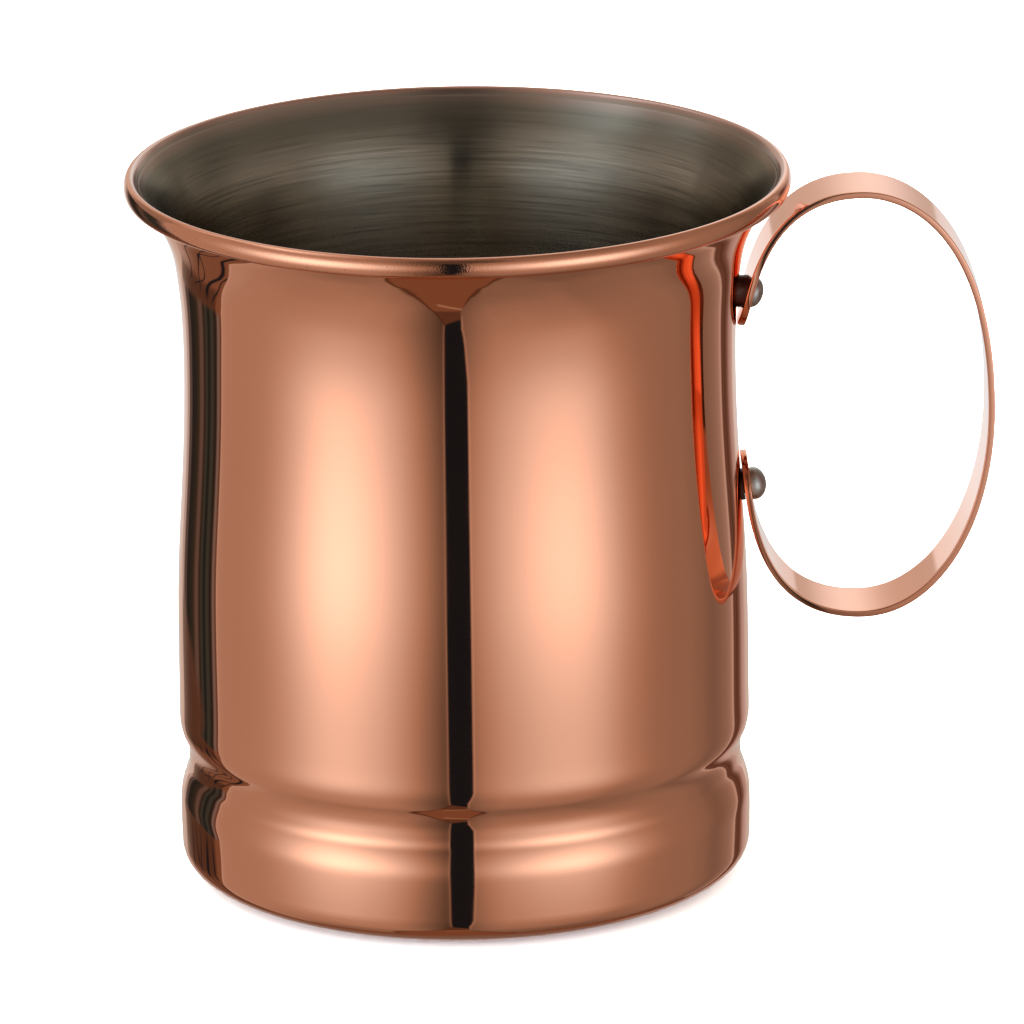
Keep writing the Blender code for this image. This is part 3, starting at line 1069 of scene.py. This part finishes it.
def from_leaning_edge(azimuth, elevation, lean):
    """Azimuth counted from an edge that runs to the left as it goes down."""
    drop = (elevation - lean["below"]).math("MINIMUM", 0.0).math("MAXIMUM", -lean["length"])
    return azimuth - drop * lean["share"]


def from_rising_line(azimuth, elevation, rise):
    """Elevation counted from a line that rises to the left of an azimuth."""
    return elevation + (azimuth - rise["left_of"]).math("MINIMUM", 0.0) * rise["share"]


def panel_mask(azimuth, elevation, spec, from_edge, from_top):
    """1 on a panel. Its left edge and its top are read off the last two values."""
    low, high = spec["edges"]
    mask = from_edge.ramp(low - HEM, low + HEM) * (1.0 - azimuth.ramp(high - HEM, high + HEM))
    mask = mask * (elevation - foot_line(azimuth, spec["foot"])).ramp(-0.5, 0.5)
    return mask * (1.0 - from_top.ramp(*PANEL_TOP))


def ceiling_light(azimuth, elevation):
    """Brightness of the ceiling, dark over the camera and with one lamp."""
    light = elevation.table(CEILING)
    front = azimuth.lobe(DARK_FRONT["azimuth"], DARK_FRONT["width"], DARK_FRONT["width"], 4.0)
    front = front * (1.0 - elevation.ramp(*DARK_FRONT["end"]))
    light = light + (light * -1.0 + DARK_FRONT["light"]) * front
    lamp = azimuth.lobe(LAMP["azimuth"], LAMP["width"], LAMP["width"])
    lamp = lamp * elevation.lobe(LAMP["elevation"], LAMP["height"], LAMP["height"])
    return light + lamp * LAMP["gain"]


def backdrop_light(azimuth, elevation):
    """Brightness of the backdrop with its glows."""
    around = azimuth + (1.0 - azimuth.ramp(-1.0, 1.0)) * 360.0
    light = elevation.table(BACKDROP)
    for glow in BACKDROP_GLOWS:
        low, low_end, high, high_end = glow["heights"]
        reach = elevation.ramp(low, low_end) * (1.0 - elevation.ramp(high, high_end))
        light = light + around.lobe(glow["azimuth"], *glow["widths"]) * reach * glow["gain"]
    return light


def with_table(color, azimuth, elevation, above_table, bare):
    """The colour with the table below, and the panels' foot hems, a rail and a batten on it."""
    brown = (1.0 - above_table.ramp(*TABLE_EDGE)) * bare
    shade = azimuth.window(*TABLE_SHADE["azimuths"], 1.0)
    shade = shade * elevation.window(*TABLE_SHADE["heights"], 1.5)
    color = blend(brown, color, blend(shade, TABLE_BROWN, TABLE_SHADE["color"]))
    for spec in (LEFT_PANEL, RIGHT_PANEL):
        hem = elevation - foot_line(azimuth, spec["foot"])
        hem = hem.lobe(FOOT_HEM["middle"], FOOT_HEM["half"], FOOT_HEM["half"])
        hem = hem * azimuth.window(*spec["edges"], 0.5)
        color = blend(hem * FOOT_HEM["share"], color, FOOT_HEM["color"])
    rail = azimuth.window(*RAIL["azimuths"], 1.0) * above_table.window(*RAIL["heights"], 2.0)
    color = blend(rail * RAIL["share"], color, RAIL["color"])
    batten = elevation - azimuth * BATTEN["tilt"]
    batten = batten.lobe(BATTEN["height"], BATTEN["half"], BATTEN["half"], 4.0)
    batten = batten * azimuth.window(*BATTEN["azimuths"], 0.5)
    return blend(batten * brown, color, BATTEN["color"])


def cable_mask(azimuth, elevation):
    """1 on the swaying cables."""
    mask = None
    for middle, sway, turns, phase, half in CABLES:
        line = azimuth - (elevation * turns + phase).math("SINE") * sway
        line = line.lobe(middle, half, half, 4.0)
        mask = line if mask is None else mask.math("MAXIMUM", line)
    return mask * elevation.window(*CABLE_HEIGHTS, 1.5)


def studio_color(azimuth, elevation):
    """Colour of the studio in a direction."""
    from_left_edge = from_leaning_edge(azimuth, elevation, LEFT_EDGE_LEAN)
    from_right_edge = from_leaning_edge(azimuth, elevation, RIGHT_EDGE_LEAN)
    from_top = from_rising_line(azimuth, elevation, TOP_RISE)
    left = panel_mask(azimuth, elevation, LEFT_PANEL, from_left_edge, from_top)
    right = panel_mask(azimuth, elevation, RIGHT_PANEL, from_right_edge, elevation)

    light = ceiling_light(azimuth, elevation)
    light = lit_panel(azimuth, elevation, LEFT_PANEL).over(light, left)
    light = lit_panel(azimuth, elevation, RIGHT_PANEL).over(light, right)
    for place, (edge, gain) in zip((from_left_edge, azimuth, from_right_edge), HEMS):
        light = light + place.lobe(edge, HEM, HEM) * elevation.window(*HEM_HEIGHTS, 3.0) * gain
    behind = azimuth.math("ABSOLUTE").ramp(*BACKDROP_START)
    backdrop = backdrop_light(azimuth, elevation).table(BACKDROP_TINT)
    color = blend(behind, light.table(TINTED_LIGHT), backdrop)

    bare = (1.0 - left) * (1.0 - right)
    above_table = from_rising_line(azimuth, elevation, TABLE_RISE)
    color = with_table(color, azimuth, elevation, above_table, bare * (1.0 - behind))
    color = blend(cable_mask(azimuth, elevation) * (1.0 - left), color, BLACK)
    for stripes, foot in ((LEFT_STRIPES, LEFT_STRIPE_FOOT), (RIGHT_STRIPES, RIGHT_STRIPE_FOOT)):
        gap = azimuth.window(stripes[0][0], stripes[-1][0], 0.2) * bare
        gap = gap * above_table.ramp(foot - 0.5, foot + 0.5)
        gap = gap * (1.0 - elevation.ramp(*STRIPE_TOP))
        color = blend(gap, color, azimuth.table(stripes))
    slit = (elevation + azimuth * SLIT["tilt"]).window(*SLIT["heights"], 1.5)
    return blend(slit * azimuth.window(*SLIT["azimuths"], 0.4) * bare, color, BLACK)


STUDIO_RADIUS = 0.8
STUDIO_CENTRE = (0.0, 0.0, 0.05)


def make_studio():
    """A round studio of lit cloth at arm's length, seen only in reflections and on the floor."""
    shape = bmesh.new()
    bmesh.ops.create_uvsphere(shape, u_segments=96, v_segments=48, radius=STUDIO_RADIUS)
    mesh = bpy.data.meshes.new("studio_cloth")
    shape.to_mesh(mesh)
    shape.free()
    material = bpy.data.materials.new("studio_cloth")
    material.cycles.emission_sampling = "NONE"
    tree = tree_of(material)
    place = tree.nodes.new("ShaderNodeTexCoord").outputs["Object"]
    unit = tree.nodes.new("ShaderNodeVectorMath")
    unit.operation = "NORMALIZE"
    tree.links.new(place, unit.inputs[0])
    x, y, z = split(tree, unit.outputs[0])
    azimuth = x.math("ARCTAN2", y * -1.0) * (180 / math.pi)
    elevation = z.math("ARCSINE") * (180 / math.pi)
    rays = tree.nodes.new("ShaderNodeLightPath")
    boost = Value(tree, rays.outputs["Is Diffuse Ray"]) * (FLOOR_LIGHT - 1.0) + 1.0
    glow = tree.nodes.new("ShaderNodeEmission")
    tree.links.new(studio_color(azimuth, elevation).socket, glow.inputs["Color"])
    tree.links.new(boost.socket, glow.inputs["Strength"])
    out = tree.nodes.new("ShaderNodeOutputMaterial")
    tree.links.new(glow.outputs[0], out.inputs["Surface"])
    mesh.materials.append(material)
    cloth = bpy.data.objects.new("studio_cloth", mesh)
    cloth.location = STUDIO_CENTRE
    cloth.rotation_euler.z = math.radians(VIEW_AZIMUTH_DEG)
    cloth.visible_camera = False
    cloth.visible_shadow = False
    bpy.context.scene.collection.objects.link(cloth)


def make_floor():
    shape = bmesh.new()
    bmesh.ops.create_circle(shape, cap_ends=True, segments=96, radius=STUDIO_RADIUS * 0.9)
    mesh = bpy.data.meshes.new("floor")
    shape.to_mesh(mesh)
    shape.free()
    material = bpy.data.materials.new("floor")
    material.use_nodes = True
    shader = material.node_tree.nodes["Principled BSDF"]
    shader.inputs["Base Color"].default_value = (0.9, 0.9, 0.9, 1.0)
    shader.inputs["Roughness"].default_value = 0.9
    shader.inputs["Specular IOR Level"].default_value = 0.0
    mesh.materials.append(material)
    floor = bpy.data.objects.new("floor", mesh)
    floor.location.z = -0.0002
    floor.visible_glossy = False
    bpy.context.scene.collection.objects.link(floor)


def make_world():
    world = bpy.data.worlds.new("studio")
    bpy.context.scene.world = world
    world.use_nodes = True
    background = world.node_tree.nodes["Background"]
    background.inputs["Color"].default_value = (1.0, 1.0, 1.0, 1.0)
    background.inputs["Strength"].default_value = 1.0


make_camera()
make_studio()
make_floor()
make_world()
bpy.context.scene.view_settings.view_transform = "Standard"
